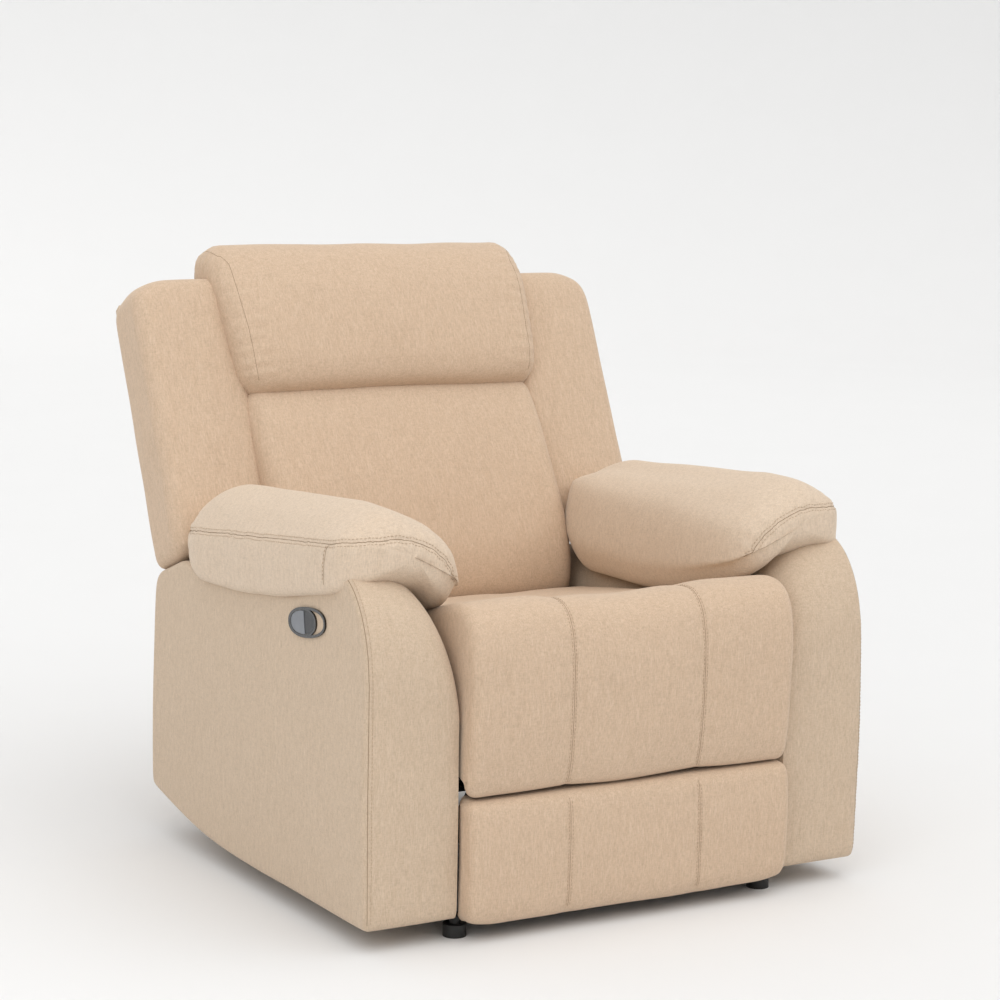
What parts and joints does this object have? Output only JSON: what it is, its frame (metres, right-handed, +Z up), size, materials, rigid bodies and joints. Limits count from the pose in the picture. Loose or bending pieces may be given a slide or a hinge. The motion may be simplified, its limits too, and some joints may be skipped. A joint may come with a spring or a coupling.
{
  "type": "recliner armchair",
  "caption": "Upholstered power recliner with a reclining back, a fold-out footrest on a bar linkage, padded arms and a two-button control on the left arm.",
  "frame": {"origin": "on the floor, under the middle of the chair's bounding box at rest", "axes": "+Z up; the sitter faces -Y; +X is the right side of the chair seen from the front"},
  "size_m": [0.926, 1.0317, 1.0152],
  "materials": {
    "cushion_fabric": "matt woven chenille",
    "casing_fabric": "matt woven chenille, stretched over board",
    "pad_fabric": "matt woven chenille over deep fill",
    "timber": "sawn plywood and pine",
    "mechanism_steel": "black powder coat",
    "rivet_steel": "zinc plated",
    "webbing": "woven elastic strap",
    "rail_aluminium": "extruded",
    "drive_plastic": "moulded, fine texture",
    "control_gloss": "polished rim",
    "control_satin": "satin moulded",
    "control_grey": "satin moulded",
    "glide_plastic": "hard nylon"
  },
  "bodies": {
    "base": {"glides": "glide_plastic", "base_rails": "mechanism_steel", "base_cross_tubes": "mechanism_steel", "side_plates": "mechanism_steel", "support_tube": "mechanism_steel", "recline_posts": "mechanism_steel", "recline_pins": "rivet_steel", "arm_frame_left": "timber", "arm_frame_right": "timber", "arm_shell_left": "casing_fabric", "arm_shell_right": "casing_fabric", "arm_pad_left": "pad_fabric", "arm_pad_right": "pad_fabric", "arm_bolts": "rivet_steel", "seat_side_rails": "timber", "seat_cross_rails": "timber", "seat_webbing": "webbing", "seat_cushion": "cushion_fabric", "rear_valance": "casing_fabric", "actuator_rail": "rail_aluminium", "lead_screw": "rivet_steel", "motor_housing": "drive_plastic", "motor_bracket": "mechanism_steel", "power_inlet": "drive_plastic", "control_bezel": "control_gloss", "control_divider": "control_grey", "control_box": "drive_plastic", "support_pins": "rivet_steel"},
    "backrest": {"back_uprights": "timber", "back_rails": "timber", "back_webbing": "webbing", "back_brackets": "mechanism_steel", "wing_boards": "timber", "lumbar_cushion": "cushion_fabric", "head_cushion": "cushion_fabric", "wing_left": "cushion_fabric", "wing_right": "cushion_fabric", "back_cover": "casing_fabric"},
    "drive_arms": {"drive_links": "mechanism_steel", "drive_rivets": "rivet_steel", "torque_tube": "mechanism_steel", "crank": "mechanism_steel"},
    "support_arms": {"support_links": "mechanism_steel"},
    "front_arms": {"front_links": "mechanism_steel", "front_rivets": "rivet_steel"},
    "control_arms": {"control_links": "mechanism_steel"},
    "footrest": {"footrest_brackets": "mechanism_steel", "footrest_rivets": "rivet_steel", "footrest_board": "timber", "footrest_pad": "cushion_fabric", "footrest_screws": "rivet_steel"},
    "nut_block": {"drive_block": "rail_aluminium"},
    "open_button": {"button_open": "control_satin"},
    "close_button": {"button_close": "control_grey"}
  },
  "joints": [
    {"name": "backrest_recline", "type": "hinge", "parent": "base", "child": "backrest", "pos_m": [0, 0.19, 0.33], "axis": [-1, 0, 0], "range_deg": [0, 30]},
    {"name": "footrest_drive", "type": "hinge", "parent": "base", "child": "drive_arms", "pos_m": [0, -0.385, 0.24], "axis": [-1, 0, 0], "range_deg": [0, 88]},
    {"name": "support_arm_pivot", "type": "hinge", "parent": "base", "child": "support_arms", "pos_m": [0, -0.35899, 0.21658], "axis": [-1, 0, 0], "range_deg": [0, 88]},
    {"name": "front_arm_pivot", "type": "hinge", "parent": "drive_arms", "child": "front_arms", "pos_m": [0, -0.33483, 0.06505], "axis": [-1, 0, 0], "range_deg": [-88, 0]},
    {"name": "control_arm_pivot", "type": "hinge", "parent": "drive_arms", "child": "control_arms", "pos_m": [0, -0.33239, 0.09294], "axis": [-1, 0, 0], "range_deg": [-88, 0]},
    {"name": "footrest_pivot", "type": "hinge", "parent": "front_arms", "child": "footrest", "pos_m": [0, -0.44, 0.196], "axis": [-1, 0, 0], "range_deg": [0, 88]},
    {"name": "nut_block_slide", "type": "slide", "parent": "base", "child": "nut_block", "axis": [0, -1, 0], "range_m": [0, 0.07643]},
    {"name": "open_button_press", "type": "slide", "parent": "base", "child": "open_button", "axis": [1, 0, 0], "range_m": [0, 0.0015], "stiffness_N_per_m": 600},
    {"name": "close_button_press", "type": "slide", "parent": "base", "child": "close_button", "axis": [1, 0, 0], "range_m": [0, 0.0015], "stiffness_N_per_m": 600}
  ],
  "couplings": [
    {"joint": "support_arm_pivot", "follows": "footrest_drive", "ratio": 1},
    {"joint": "front_arm_pivot", "follows": "footrest_drive", "ratio": -1},
    {"joint": "control_arm_pivot", "follows": "footrest_drive", "ratio": -1},
    {"joint": "footrest_pivot", "follows": "footrest_drive", "ratio": 1},
    {"joint": "nut_block_slide", "follows": "footrest_drive", "m_per_rad": 0.049751}
  ]
}
